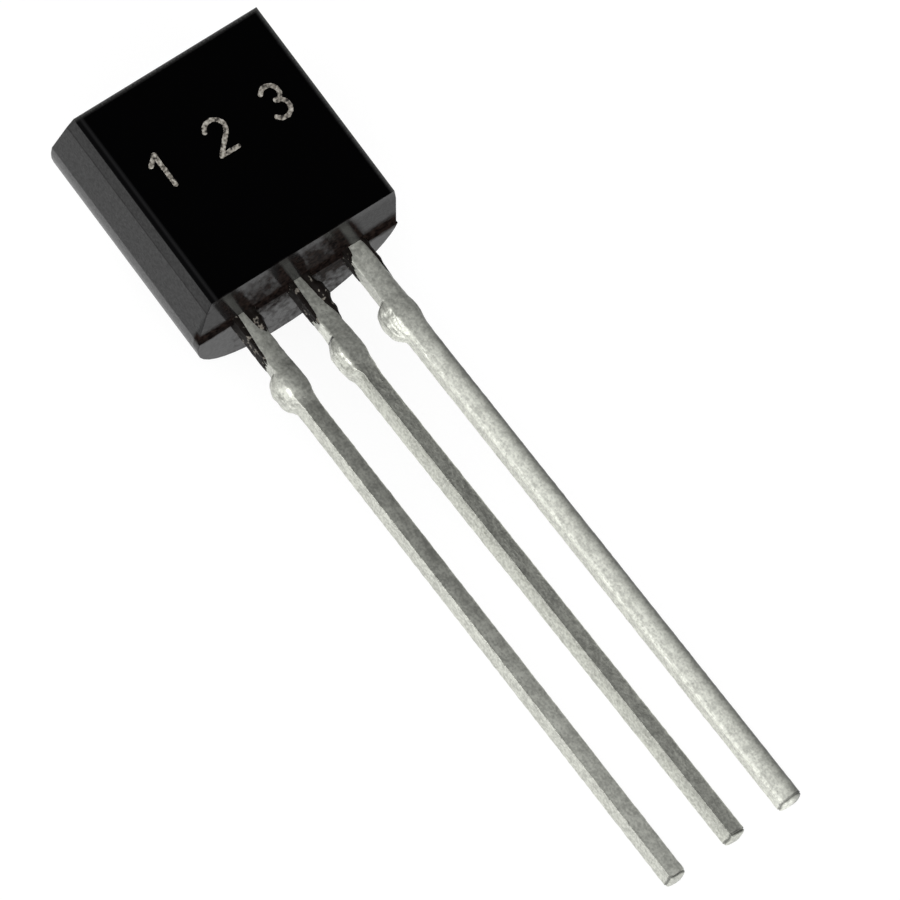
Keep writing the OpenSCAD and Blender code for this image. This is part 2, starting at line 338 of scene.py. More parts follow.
roughen(tree, shader, fine, EPOXY_BUMP, BUMP_STRENGTH, EPOXY_EDGE)

# Flux has crept over the lower end, thickest by the parting line. There a ragged band of painted
# shade runs along it, and aslant over the front half every lead has a painted reflection, a
# glossy strip with dark sides
STRIPS = (-1.28, 0.0, 1.3)
# Half the width of a painted reflection's strip, and of it with its dark sides, and how softly
# each ends
STRIP, REFLECTION_DARK_SIDES, REFLECTION_DARK_SHARE = (0.06, 0.07), (0.14, 0.16), 0.75
FRONT_HALF = (0.08, 0.16)
# Four numbers carry a range of places into a range of values: out of the parting plane into
# how far aside the slant has gone, away from the stain's middle into how much of it there
# is, and across the case into how much more
SLANT = (0.12, 1.32, 0, 0.44)
STAIN_MIDDLE, THINNING, MORE_ON_RIGHT = 0.08, (0.1, 1.2, 1.0, 0.05), (-0.1, 0.2, 0, 0.3)
BLOTCH, BLOTCH_TURN, BLOTCH_STRETCH = (8, 5), radians(20), (1, 1, 0.45)
BLOTCH_SPREAD = (-0.5, 0.5)
STAIN_REACH, STAIN_SHARE = (0.08, 1.3, 0.15), 0.88
# The ragged band of painted shade along the parting line, and the share of a grain that it strays
# by.
# Across the case, its width is divided by less and less.
PARTING, PARTING_MIDDLE = (0, 0.07, 0.16), 0.2
UNEVEN, UNEVEN_SHARE = (9, 5), 0.2
NARROWING = (-2, 2, 1.1, 0.65)
# Colours of the flux stain, which also paint the shade along the parting line and the
# reflections' dark sides
STAIN_AND_SHADE_BROWN, STAIN_AND_SHADE_BLACK = (0.022, 0.015, 0.0125), (0.004, 0.003, 0.003)
STAIN_AND_SHADE_GRAIN, STAIN_AND_SHADE_RANGE = (11, 4), (0.35, 0.65)
aslant = plus(tree, between(tree, at["Z"], *SLANT), at["X"])
turned = add(tree, "ShaderNodeMapping", {"Vector": place, "Rotation": (0, BLOTCH_TURN, 0)})
blotch = grain(tree, turned.outputs[0], *BLOTCH, BLOTCH_STRETCH)
# Each lead's painted reflection in the glossy front half: a strip free of stain between dark
# sides
strips, reflection_dark_sides = 0, 0
for x in STRIPS:
    offset = minus(tree, aslant, x)
    reflection_dark_sides = plus(tree, reflection_dark_sides, band(tree, offset, 0, *REFLECTION_DARK_SIDES))
    strips = plus(tree, strips, band(tree, offset, 0, *STRIP))
on_front = times(tree, between(tree, at["Z"], *FRONT_HALF), lower_end)
reflection_dark_sides = times(tree, reflection_dark_sides, on_front)
strips = times(tree, strips, on_front)
# The stain thins out away from the parting line and to the left, in blotches
from_parting = maths(tree, "ABSOLUTE", minus(tree, at["Z"], STAIN_MIDDLE))
creep_and_reflection = plus(tree, between(tree, from_parting, *THINNING),
             between(tree, at["X"], *MORE_ON_RIGHT))
creep_and_reflection = plus(tree, creep_and_reflection, between(tree, blotch, *GRAIN_RANGE, *BLOTCH_SPREAD))
creep_and_reflection = times(tree, creep_and_reflection, band(tree, aslant, *STAIN_REACH), clamp=True)
# The dark sides of the painted reflections are added to the flux stain
creep_and_reflection = plus(tree, creep_and_reflection, times(tree, reflection_dark_sides, REFLECTION_DARK_SHARE), clamp=True)
# Along the parting line lies a ragged band of painted shade in the stain's colours, wider on the
# right
uneven = plus(tree, at["Z"], times(tree, grain(tree, place, *UNEVEN), UNEVEN_SHARE))
aside = times(tree, minus(tree, uneven, PARTING_MIDDLE), between(tree, at["X"], *NARROWING))
stain_and_shade = maths(tree, "MAXIMUM", times(tree, creep_and_reflection, STAIN_SHARE), band(tree, aside, *PARTING))
# Neither stain nor painted shade on the strips of the painted reflections
stain_and_shade = times(tree, stain_and_shade, minus(tree, 1.0, strips))
tree.links.new(shift(tree, strips, gloss, STRIP_GLOSS), shader.inputs["Specular IOR Level"])
# The stain's colours also paint the shade along the parting line and the dark sides of the
# painted reflections
stain_and_shade_colour = blend(tree, between(tree, grain(tree, place, *STAIN_AND_SHADE_GRAIN), *STAIN_AND_SHADE_RANGE),
                     STAIN_AND_SHADE_BLACK, STAIN_AND_SHADE_BROWN)
stain_and_shade_paint = add(tree, "ShaderNodeBsdfDiffuse", {"Color": stain_and_shade_colour})
skin = add(tree, "ShaderNodeMixShader",
           {0: times(tree, stain_and_shade, lower_end), 1: shader.outputs[0], 2: stain_and_shade_paint.outputs[0]})
tree.links.new(skin.outputs[0], tree.nodes["Material Output"].inputs["Surface"])

case = frame["nodes"]["case"]
case.data.materials.clear()
case.data.materials.append(epoxy)

# ---- Pin numbers -------------------------------------------------------------------------
# A laser writes the numbers of the three leads on the flat, above the lead that each belongs
# to. Every stroke is a row of small pale craters with low rims that run into one another.
DIGIT_HEIGHT, DIGIT_WIDTH, DIGIT_LOW = 0.68, 0.4, 2.35
DOT_SPACING, DOT_RADIUS, DOT_RISE, DOT_SIDES = 0.034, 0.049, 0.006, 14
# How far a dot strays from its stroke, by what share its size varies, and how quickly
DOT_STRAY, DOT_SPREAD, DOT_CHANGE, DOT_SEED = 0.008, 0.18, 31, 1
# Half section of a dot from outside in: (share of the radius, share of the rise)
DOT_SECTION = [(1, -1), (0.92, 0.6), (0.7, 1), (0.35, 0.7), (0, 0.55)]
BURNT, MARK_GRAIN, MARK_BUMP = (16, 4), (30, 3), 0.003e-3
BURNT_SHADES = [(0.36, (0.02, 0.018, 0.017)), (0.5, (0.24, 0.22, 0.19)),
                (0.66, (0.5, 0.48, 0.43))]
# Where strokes go, from the digit's lower left in digit widths
ARC_POINTS = 16
MIDDLE, TOP = 0.5, DIGIT_HEIGHT / DIGIT_WIDTH
UPPER_BOWL, LOWER_BOWL = 0.44, 0.46


def arc(middle_x, middle_y, radius, start, end):
    """Points along an arc from one angle to another in degrees."""
    turns = [radians(start + (end - start) * i / ARC_POINTS) for i in range(ARC_POINTS + 1)]
    return [(middle_x + radius * cos(turn), middle_y + radius * sin(turn)) for turn in turns]


DIGITS = {
    "1": [[(0.12, TOP - 0.4), (0.55, TOP)], [(0.55, TOP), (0.55, 0)]],
    "2": [arc(MIDDLE, TOP - MIDDLE, MIDDLE, 165, -35) + [(0, 0)], [(0, 0), (1, 0)]],
    "3": [arc(MIDDLE, TOP - UPPER_BOWL, UPPER_BOWL, 150, -80),
          arc(MIDDLE, LOWER_BOWL, LOWER_BOWL, 85, -150)],
}


def laser_dots(strokes, x, seed):
    """Dots along each stroke, evenly spaced, with small differences in place and size."""
    dots = []
    for stroke in strokes:
        points = [Vector((x + (u - MIDDLE) * DIGIT_WIDTH, DIGIT_LOW + v * DIGIT_WIDTH))
                  for u, v in stroke]
        left = 0.0
        for a, b in zip(points, points[1:]):
            length = (b - a).length
            while left < length:
                middle = a.lerp(b, left / length)
                shake = noise.noise_vector(Vector((middle.x, middle.y, seed)) * DOT_CHANGE)
                dots.append((middle.x + DOT_STRAY * shake.x, middle.y + DOT_STRAY * shake.y,
                             DOT_RADIUS * (1 + DOT_SPREAD * shake.z)))
                left += DOT_SPACING
            left -= length
    return dots


def add_dot(verts, faces, x, y, radius):
    """Flat crater with a raised rim, as a closed shape that is sunk a little in the flat."""
    base = len(verts)
    *rings, (_, middle_rise) = DOT_SECTION
    for scale, rise in rings:
        for i in range(DOT_SIDES):
            turn = tau * i / DOT_SIDES
            verts.append((x + radius * scale * cos(turn), y + radius * scale * sin(turn),
                          FLAT_DEPTH / MM + DOT_RISE * rise))
    verts.append((x, y, FLAT_DEPTH / MM + DOT_RISE * middle_rise))
    for ring in range(len(rings) - 1):
        for i in range(DOT_SIDES):
            j = (i + 1) % DOT_SIDES
            row = base + ring * DOT_SIDES
            faces.append((row + i, row + j, row + DOT_SIDES + j, row + DOT_SIDES + i))
    last = base + (len(rings) - 1) * DOT_SIDES
    for i in range(DOT_SIDES):
        faces.append((last + i, last + (i + 1) % DOT_SIDES, len(verts) - 1))
    faces.append(tuple(base + i for i in reversed(range(DOT_SIDES))))


def piece(name, verts, faces, material):
    """Links a smooth mesh given in package millimetres, and makes it ride on the part."""
    mesh = bpy.data.meshes.new(name)
    mesh.from_pydata([PACKAGE @ Vector(v) for v in verts], [], faces)
    mesh.materials.append(material)
    mesh.polygons.foreach_set("use_smooth", [True] * len(mesh.polygons))
    made = bpy.data.objects.new(name, mesh)
    bpy.context.scene.collection.objects.link(made)
    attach(made, "root")
    return made


laser_mark, tree, shader = finish("laser_mark", IOR=1.5, Specular_IOR_Level=0.2, Roughness=0.7)
place = package_place(tree)
tree.links.new(steps(tree, grain(tree, place, *BURNT), BURNT_SHADES), shader.inputs["Base Color"])
roughen(tree, shader, grain(tree, place, *MARK_GRAIN), MARK_BUMP)

# Unless it is seeded, the noise that shakes the dots differs from run to run
noise.seed_set(DOT_SEED)
for seed, (x, (digit, strokes)) in enumerate(zip((-PITCH, 0, PITCH), DIGITS.items())):
    verts, faces = [], []
    for dot in laser_dots(strokes, x, seed):
        add_dot(verts, faces, *dot)
    number = piece(f"pin_number_{digit}", verts, faces, laser_mark)

# ---- Tin coats ---------------------------------------------------------------------------
# Each lead is dipped in tin after the case is moulded. The coat has softened the edges of
# the sheared lead, beads up over the stub of its cut tie bar, and is lumpy and pitted.
LEAD_SETBACK, LEAD_THICK = 0.05, 0.34
COAT, COAT_ROOT, COAT_STEP = 0.009, 0.3, 0.026
BEAD_HALF, BEAD_COVER, STUB_HALF, STUB_COVER = 0.35, 0.01, 0.11, 0.015
# Points on a rounded corner, and the most of a side that its rounding takes up
CORNER_POINTS, CORNER_MOST = 6, 0.45
# Distances past the bead's middle between which the lead turns, its left and right sides step
# from the root to the lower part, and the chamfer begins
TWIST_SPAN, CHAMFER_SPAN = (0.26, 0.52), (0, 0.5)
LEFT_STEP, RIGHT_STEP = (-0.4, -0.08), (0.05, 0.36)
# Lumps: how high, how fine, and the three settings of their fractal. Then how often the left
# edge's rounding varies, and its least share.
COAT_LUMPS, BEAD_LUMPS = (0.006, 8, 0.8, 2.2, 3), (0.014, 7, 1.0, 2.1, 3)
CRISP_WAVE, CRISP_LEAST = 2.3, 0.7
# How far apart the leads lie in the field of lumps
LUMPS_APART = 7.3
# Lengths in millimetres and angles in degrees. A lead's lower part is centred on x where it
# would meet the case, and its upper part lies to the right of that by step. They are width
# and root wide, and bent to the right by splay; the lower part is also turned by twist. edge
# and crisp are the roundings of the right and left edges. The bead is centred at bead from
# the case, covers a stub that stands out by stub, and stands out in front by swell. On its
# left it slopes down from brow past the lead's side, over the two shares of the way out that
# slope gives. A crack crosses the base lead at crack, and the collector's left front edge is
# cut off by chamfer.
LEADS = {
    "emitter": dict(x=-PITCH - 0.05, step=0.05, root=0.385, width=0.34, edge=0.05, crisp=0.025,
                    length=12.87, splay=1.2, twist=9, bead=1.62, stub=0.18, swell=0.06,
                    brow=0.045, slope=(0.35, 0.6), seed=1),
    "base": dict(x=-0.06, step=0.06, root=0.385, width=0.345, edge=0.05, crisp=0.025,
                 length=12.82, splay=1.75, twist=19, bead=1.65, stub=0.08, swell=0.04,
                 brow=0.045, slope=(0.45, 0.75), crack=1.27, seed=2),
    "collector": dict(x=PITCH - 0.02, step=0.02, root=0.45, width=0.44, edge=0.12, crisp=0.015,
                      length=12.82, splay=1.6, twist=2, bead=1.575, stub=0.21, swell=0.05,
                      brow=0.03, slope=(0.32, 0.5), chamfer=0.05, seed=3),
}
# How the coat closes over a lead's cut end, past a thin groove where the cut was:
# (distance past the end, size of the ring)
TIP = [(-0.004, 1), (0.006, 0.97), (0.012, 0.9), (0.02, 0.9), (0.028, 0.94), (0.045, 0.91),
       (0.062, 0.82), (0.078, 0.66), (0.088, 0.45), (0.092, 0.22)]
# How far the last even ring lies before the cut end. Then how far and how finely the tip strays
# from an even shape, and what share of that goes along the lead.
TIP_BEFORE, TIP_RAGGED, TIP_FINE, TIP_ALONG = 0.02, 0.02, 12, 0.6
TIN_TINT = (0.985, 1.0, 0.905)
TONE_SPAN = 13.0
# Smoothest and roughest, how light and how metallic the left side is, and between which places
# across the lead the painted shade on its right comes in. Then the front, at distances from the
# case: (distance, how light, how metallic, how dark the painted shade on the right is).
TIN = {
    "emitter": (0.28, 0.42, (0.6, 1.0), (-0.12, 0.12),
                [(0, 0.58, 0.25, 0.5), (1.7, 0.58, 0.25, 0.58), (2.1, 0.7, 0.9, 0.34),
                 (6.5, 0.72, 0.85, 0.3), (9.5, 0.7, 0.6, 0.2), (12.5, 0.56, 0.4, 0.15)]),
    "base": (0.28, 0.42, (0.64, 1.0), (0.0, 0.2),
             [(0, 0.4, 0.4, 0.3), (1.6, 0.36, 0.4, 0.05), (2.1, 0.54, 1, 0),
              (7, 0.56, 0.95, 0), (12.5, 0.52, 0.8, 0)]),
    "collector": (0.34, 0.46, (0.74, 0.3), (-0.01, 0.22),
                  [(0, 0.5, 0.3, 0.25), (1.8, 0.52, 0.3, 0.5), (2.3, 0.76, 0.2, 0.85),
                   (4, 0.82, 0.15, 0.85), (12.5, 0.76, 0.15, 0.8)]),
}
# How light and how metallic the painted highlight on the bead and the painted glint along the
# chamfer are, and how much light is left in a pit, at the cut near the tip and in the crack
BEAD_HIGHLIGHT_SHINE, GLINT_SHINE = (0.95, 0.55), (1.0, 0.6)
PIT_SHADE, CUT_SHADE, CRACK_SHADE, MOTTLE_SPREAD = 0.75, 0.4, 0.06, (0.78, 1.22)
# Bands across and along the lead: middle, half width, softness. Those of the painted highlight on
# the bead and of the painted glint count from the lead's left side, and the cut's from its end.
BEAD_HIGHLIGHT_ACROSS, BEAD_HIGHLIGHT_ALONG = (-0.03, 0.04, 0.05), (0.16, 0.12)
GLINT_ACROSS, GLINT_BELOW, GLINT_FRONT = (0.02, 0.018, 0.014), (-1.8, -2), (0.06, 0.09)
CUT, CUT_WAVE = (0.05, 0.014, 0.022), 0.12
CRACK_ALONG, CRACK_LEFT, CRACK_SLANT = (0.018, 0.014), (-0.06, -0.1), 0.12
# Band along the lead, counted from the crack, where the base lead's left side takes the bead's
# painted highlight, and how much of it
HIGHLIGHT_BY_CRACK, HIGHLIGHT_BY_CRACK_SHARE = (0.17, 0.16, 0.04), 0.75
# Where the front begins, from the left side, and where the left side turns metallic
FRONT_FROM, FRONT_FULL = 0.02, 0.1
BELOW_BEAD, SIDE_METAL = (-2.2, -1.95), 0.4
# Grains: how fine they are per millimetre, how detailed, and how stretched
STREAK, CLOUD, SPECK, PITS = (22, 3, (1, 0.4, 1)), (5, 5), (20, 4), 13.0
# How much streaks fray the bands along a lead, and specks the pits; a pit's bottom and brim
ASIDE_FRAY, PIT_FRAY, PIT_BRIM = 0.06, 0.2, (0.14, 0.3)
# Shares of streaks, clouds and specks in the mottle, and of streaks and pits in the bump
MOTTLE_SHARES, STREAK_BUMP, PIT_BUMP, TIN_BUMP = (0.3, 0.3, 0.4), 0.4, 0.5, 0.005e-3
# The ranges that most of the mottle's and the clouds' values lie in
MOTTLE_RANGE, CLOUD_RANGE = (0.41, 0.59), (0.25, 0.75)


def ease(value, low, high):
    """0 below low, 1 above high, and a smooth rise between them."""
    share = min(max((value - low) / (high - low), 0), 1)
    return share * share * (3 - 2 * share)


def rounded_outline(corners):
    """Outline as (point, outward direction) pairs, in the order of the corners.

    Each corner is (x, z, how far before and after it the rounding reaches, number of points
    on the straight that follows it).
    """
    spots = [Vector(corner[:2]) for corner in corners]
    points = []
    for i, (_, _, cut, straight) in enumerate(corners):
        here, after = spots[i], spots[(i + 1) % len(spots)]
        before = spots[i - 1]
        start = here.lerp(before, min(CORNER_MOST, cut / (before - here).length))
        end = here.lerp(after, min(CORNER_MOST, cut / (after - here).length))
        for k in range(CORNER_POINTS):
            share = k / (CORNER_POINTS - 1)
            points.append(start.lerp(here, share).lerp(here.lerp(end, share), share))
        reach = min(CORNER_MOST, corners[(i + 1) % len(spots)][2] / (after - here).length)
        following = after.lerp(here, reach)
        points += [end.lerp(following, k / (straight + 1)) for k in range(1, straight + 1)]
    outline = []
    for i, point in enumerate(points):
        run = points[(i + 1) % len(points)] - points[i - 1]
        outline.append((point, Vector((run.y, -run.x)).normalized()))
    return outline


def coat_corners(lead, past_bead, twist, turned, crisp):
    """Corners of the coat's outline at that distance past the middle of the bead."""
    edge = lead["edge"]
    inner_w, inner_t = lead["width"] / 2 - edge, LEAD_THICK / 2 - edge
    half_w = edge + inner_w * cos(twist - turned) + inner_t * sin(twist - turned)
    bead_t = edge + inner_t * cos(twist) + inner_w * sin(twist) + BEAD_COVER
    place = min(1.0, abs(past_bead) / (BEAD_HALF + 0.05))
    dome, crown = 1 - place ** 2, (1 - place ** 3) ** 0.6
    root_left, root_right = lead["root"] / 2 - lead["step"], lead["root"] / 2 + lead["step"]
    left = root_left + (half_w - root_left) * ease(past_bead, *LEFT_STEP)
    right = root_right + (half_w - root_right) * ease(past_bead, *RIGHT_STEP)
    swell = 1 - ease(abs(past_bead), BEAD_HALF - 0.05, BEAD_HALF + 0.3)
    front = LEAD_THICK / 2 + (bead_t - LEAD_THICK / 2) * swell + lead["swell"] * dome
    back = front - lead["swell"] * dome
    chamfer = lead.get("chamfer", 0) * ease(past_bead, *CHAMFER_SPAN)

    # The bead slopes from a wide round shoulder on its left down to the stub
    stub = left + (lead["stub"] + STUB_COVER) * crown
    brow = -left + lead["brow"] * crown
    slope, foot = (left + share * (stub - left) for share in lead["slope"])
    tip = front * 0.3 + (STUB_HALF - front * 0.3) * crown
    under = 0.6 * back + (STUB_HALF + 0.01 - 0.6 * back) * crown
    return left, crown, [
        (right, front, edge + 0.03 * dome, 12),
        (brow + chamfer, front, crisp + (0.1 - crisp) * crown, 2),
        (brow - 0.04 * crown, front - 0.01 - chamfer / 2, crisp + (0.1 - crisp) * crown, 2),
        (-slope, front * 0.75 + (front * 0.25 - 0.06) * crown, 0.03 + 0.07 * crown, 2),
        (-foot, front * 0.6 + (STUB_HALF + 0.01 - front * 0.6) * crown, 0.03 + 0.07 * crown, 2),
        (-stub, tip, 0.02 + 0.06 * crown, 4),
        (-stub, -tip, 0.02 + 0.06 * crown, 2),
        (-foot, -under, 0.03, 2),
        (-left - 0.05 * crown, -back, edge + (0.15 - edge) * crown, 8),
        (right, -back, edge, 8),
    ]


def axis_point(lead, along, x=0.0, z=0.0):
    """Place at that distance along a lead, x to the right of its middle and z out from it."""
    splay = radians(lead["splay"])
    return Vector((lead["x"] + along * sin(splay) + x * cos(splay),
                   -along * cos(splay) + x * sin(splay), z - LEAD_SETBACK))


def coat_ring(lead, along):
    """Points round a lead's coat at that distance from the case.

    Each is (point, outward direction, share of the way round from the right by the front).
    """
    past_bead = along - lead["bead"]
    twist = radians(lead["twist"])
    turned = twist * ease(past_bead, *TWIST_SPAN)
    wave = 0.5 + 0.5 * noise.noise(Vector((along * CRISP_WAVE, lead["seed"], 0)))
    left, crown, corners = coat_corners(lead, past_bead, twist, turned,
                                        lead["crisp"] * (CRISP_LEAST + wave))
    height, fine, *fractal = COAT_LUMPS
    bead_height, bead_fine, *bead_fractal = BEAD_LUMPS
    splay = radians(lead["splay"])
    ring = []
    for point, out in rounded_outline(corners):
        share = (atan2(point.y, point.x) / tau) % 1
        bead_side = crown * ease(-point.x, 0, left)
        spot = Vector((point.x, along, point.y + lead["seed"] * LUMPS_APART))
        proud = COAT + height * noise.fractal(spot * fine, *fractal)
        proud += bead_height * bead_side * noise.fractal(spot * bead_fine, *bead_fractal)
        point = point + out * proud
        turn = Matrix.Rotation(-turned, 2)
        point, out = turn @ point, turn @ out
        ring.append((axis_point(lead, along, point.x, point.y),
                     Vector((out.x * cos(splay), out.x * sin(splay), out.y)), share))
    return ring


def tube_faces(rows, sides):
    """Quads between rings that follow each other in the list of points."""
    return [(r * sides + i, (r + 1) * sides + i, (r + 1) * sides + (i + 1) % sides,
             r * sides + (i + 1) % sides) for r in range(rows - 1) for i in range(sides)]


def coat_mesh(lead):
    """Rings from inside the case to the domed tip, closed at both ends."""
    end = lead["length"] - TIP_BEFORE
    count = int((end + COAT_ROOT) / COAT_STEP) + 1
    rings = [(-COAT_ROOT + (end + COAT_ROOT) * i / (count - 1), 1) for i in range(count)]
    rings += [(lead["length"] + past, size) for past, size in TIP]
    verts = []
    for along, size in rings:
        middle = axis_point(lead, along)
        points = coat_ring(lead, along)
        for point, _, _ in points:
            ragged = TIP_RAGGED * noise.noise(point * TIP_FINE) if size < 1 else 0
            spot = middle + (point - middle) * (size + ragged)
            spot.y += TIP_ALONG * ragged * (1 - size)
            verts.append(spot)
    sides = len(points)
    faces = tube_faces(len(rings), sides)
    verts += [axis_point(lead, -COAT_ROOT), axis_point(lead, rings[-1][0])]
    last = (len(rings) - 1) * sides
    for i in range(sides):
        j = (i + 1) % sides
        faces.append((i, j, len(verts) - 2))
        faces.append((last + j, last + i, len(verts) - 1))
    return verts, faces


def shine(tree, mask, tones, shining):
    """How light and how metallic the tin is, taken by the mask to the values of a painted
    highlight.
    """
    return [shift(tree, mask, tone, bright) for tone, bright in zip(tones, shining)]


def tin(name, lead, smooth, rough, side, right_shade_span, fronts):
    """Dipped tin: mottled and pitted, bright on the left side and duller on the front, with
    painted highlights, and painted shade on the right and in pits, the cut and the crack.
    """
    made, tree, shader = finish(name)
    place = package_place(tree)
    at = add(tree, "ShaderNodeSeparateXYZ", {0: place}).outputs
    streak, cloud, speck = (grain(tree, place, *kind) for kind in (STREAK, CLOUD, SPECK))
    pits = add(tree, "ShaderNodeTexVoronoi", {"Vector": place, "Scale": PITS})
    frayed = plus(tree, pits.outputs["Distance"], times(tree, speck, PIT_FRAY))
    pit = between(tree, frayed, *PIT_BRIM)

    # How far aside of the lead's middle the point is
    drift = times(tree, at["Y"], tan(radians(lead["splay"])))
    aside = plus(tree, minus(tree, at["X"], lead["x"]), drift)
    aside = plus(tree, aside, times(tree, streak, ASIDE_FRAY))
    left_side = -lead["width"] / 2
    on_front = between(tree, aside, left_side + FRONT_FROM, left_side + FRONT_FULL)
    along = between(tree, at["Y"], 0, -TONE_SPAN)
    light, metal, dark = (steps(tree, along, [(stop[0] / TONE_SPAN, stop[i]) for stop in fronts])
                          for i in (1, 2, 3))
    light = shift(tree, on_front, side[0], light)
    side_metal = between(tree, at["Y"], *BELOW_BEAD, side[1], SIDE_METAL)
    metal = shift(tree, on_front, side_metal, metal)

    # Painted highlight on the bead, and on the base lead's left side next to its crack
    crown = times(tree, band(tree, at["Y"], -lead["bead"], *BEAD_HIGHLIGHT_ALONG),
                  band(tree, aside, *BEAD_HIGHLIGHT_ACROSS, start=left_side))
    if "crack" in lead:
        highlight_by_crack = times(tree, band(tree, at["Y"], *HIGHLIGHT_BY_CRACK, start=-lead["crack"]),
                      between(tree, aside, *CRACK_LEFT, 0, HIGHLIGHT_BY_CRACK_SHARE))
        crown = plus(tree, crown, highlight_by_crack, clamp=True)
    light, metal = shine(tree, crown, (light, metal), BEAD_HIGHLIGHT_SHINE)
    if "chamfer" in lead:
        glint = times(tree, band(tree, aside, *GLINT_ACROSS, start=left_side),
                      between(tree, at["Y"], *GLINT_BELOW))
        glint = times(tree, glint, between(tree, at["Z"], *GLINT_FRONT))
        light, metal = shine(tree, glint, (light, metal), GLINT_SHINE)

    streaks, clouds, specks = (times(tree, *part) for part in
                               zip((streak, cloud, speck), MOTTLE_SHARES))
    mottle = plus(tree, streaks, plus(tree, clouds, specks))
    light = times(tree, light, between(tree, mottle, *MOTTLE_RANGE, *MOTTLE_SPREAD))
    light = times(tree, light, between(tree, pit, 0, 1, PIT_SHADE, 1))
    wavy = plus(tree, at["Y"], times(tree, cloud, CUT_WAVE))
    cut = band(tree, wavy, *CUT, start=-lead["length"])
    light = times(tree, light, between(tree, cut, 0, 1, 1, CUT_SHADE))
    if "crack" in lead:
        slanted = plus(tree, at["Y"], times(tree, aside, CRACK_SLANT))
        crack = times(tree, band(tree, slanted, -lead["crack"], *CRACK_ALONG),
                      between(tree, aside, *CRACK_LEFT))
        light = times(tree, light, between(tree, crack, 0, 1, 1, CRACK_SHADE))
        metal = minus(tree, metal, crack, clamp=True)
    # Painted shade towards the lead's right side
    painted_shade = times(tree, between(tree, aside, *right_shade_span), dark)
    light = times(tree, light, minus(tree, 1.0, painted_shade), clamp=True)
    tree.links.new(blend(tree, light, (0, 0, 0), TIN_TINT), shader.inputs["Base Color"])
    tree.links.new(metal, shader.inputs["Metallic"])
    roughness = between(tree, cloud, *CLOUD_RANGE, smooth, rough)
    tree.links.new(roughness, shader.inputs["Roughness"])
    lumps = plus(tree, times(tree, pit, PIT_BUMP), plus(tree, speck, cloud))
    roughen(tree, shader, plus(tree, lumps, times(tree, streak, STREAK_BUMP)), TIN_BUMP)
    return made


for name, lead in LEADS.items():
    verts, faces = coat_mesh(lead)
    plating = tin(f"{name}_tin", lead, *TIN[name])
    coat = piece(f"{name}_tin_coat", verts, faces, plating)
    frame["nodes"][f"{name}_lead"].data.materials.clear()
    frame["nodes"][f"{name}_lead"].data.materials.append(plating)

# ---- Mould flash -------------------------------------------------------------------------
# Where the mould shut on the leads, a thin film of epoxy ran out along them before it set.
# It clings to each lead as a black, broken skin that ends in a ragged edge.
FLASH_THICK, FLASH_UNDER, FLASH_LUMPS, FLASH_FINE = 0.011, -0.015, 0.005, 9
FLASH_ROWS, FLASH_SPAN, FLASH_STEP = 32, 1.5, 0.02
# The film and the rings it follows begin this far inside the case
FLASH_ROOT, RINGS_ROOT = 0.06, 0.1
# The film dives under the tin over this last share of its length
FLASH_END, FLASH_END_DEPTH = 0.97, -0.002
# Its shortest reach, how far and how finely its edge strays, and the settings of that fractal
FLASH_BARE, FLASH_RAGGED, RAGGED_FINE, RAGGED_FRACTAL = 0.02, 0.14, 5, (0.8, 2.2, 5)
FLASH_REACH = {
    # (share of the way round the lead from its right side by its front, how far the film runs)
    "emitter": [(0, 0.6), (0.09, 0.56), (0.14, 0.46), (0.165, 0.4), (0.18, 0.02), (0.3, 0.02),
                (0.315, 0.4), (0.335, 0.62), (0.35, 0.95), (0.38, 1.0), (0.5, 1.06), (0.62, 1.04),
                (0.75, 0.8), (0.9, 0.6)],
    "base": [(0, 1.1), (0.09, 1.05), (0.12, 0.7), (0.135, 0.45), (0.15, 0.02), (0.29, 0.02),
             (0.3, 0.25), (0.32, 0.55), (0.335, 0.75), (0.352, 0.92), (0.5, 0.86), (0.62, 0.8),
             (0.75, 0.8), (0.9, 1.0)],
    "collector": [(0, 0.9), (0.08, 0.85), (0.1, 0.2), (0.12, 0.02), (0.33, 0.02),
                  (0.35, 0.2), (0.4, 0.3), (0.45, 0.4), (0.55, 0.5), (0.62, 0.6), (0.75, 0.6),
                  (0.9, 0.8)],
}
# How far the film stands out on the right, where the mould's gap was wider
FLASH_FIN = {"emitter": 0.1, "base": 0.13, "collector": 0.04}
# Shares of the way round, to either side of the right, between which the fin fades in
FIN_EDGE, FIN_FULL = 0.13, 0.06
# How steeply the fin runs out towards its end, its least share, and how far and finely it varies
FIN_SLOPE, FIN_LEAST, FIN_SPREAD, FIN_FINE = 2.2, 0.8, 0.6, 6
FLASH_BLACK, FLASH_PALE = (0.008, 0.006, 0.005), (0.24, 0.22, 0.19)
BARE_GRAIN, BARE_STOPS = (10, 2), [(0.6, 0), (0.68, 1)]
FLASH_GRAIN, FLASH_BUMP = (14, 4), 0.004e-3


def film_reach(points, share, seed):
    """How far the film runs at that share of the way round, with a ragged edge."""
    points = points + [(1 + points[0][0], points[0][1])]
    reach = 0
    for (a, low), (b, high) in zip(points, points[1:]):
        if a <= share <= b:
            reach = low + (high - low) * (share - a) / (b - a)
    turn = tau * share
    ragged = noise.fractal(Vector((cos(turn) * RAGGED_FINE, sin(turn) * RAGGED_FINE, seed)),
                           *RAGGED_FRACTAL)
    return max(FLASH_BARE, reach + FLASH_RAGGED * ragged * min(1, reach * 3))


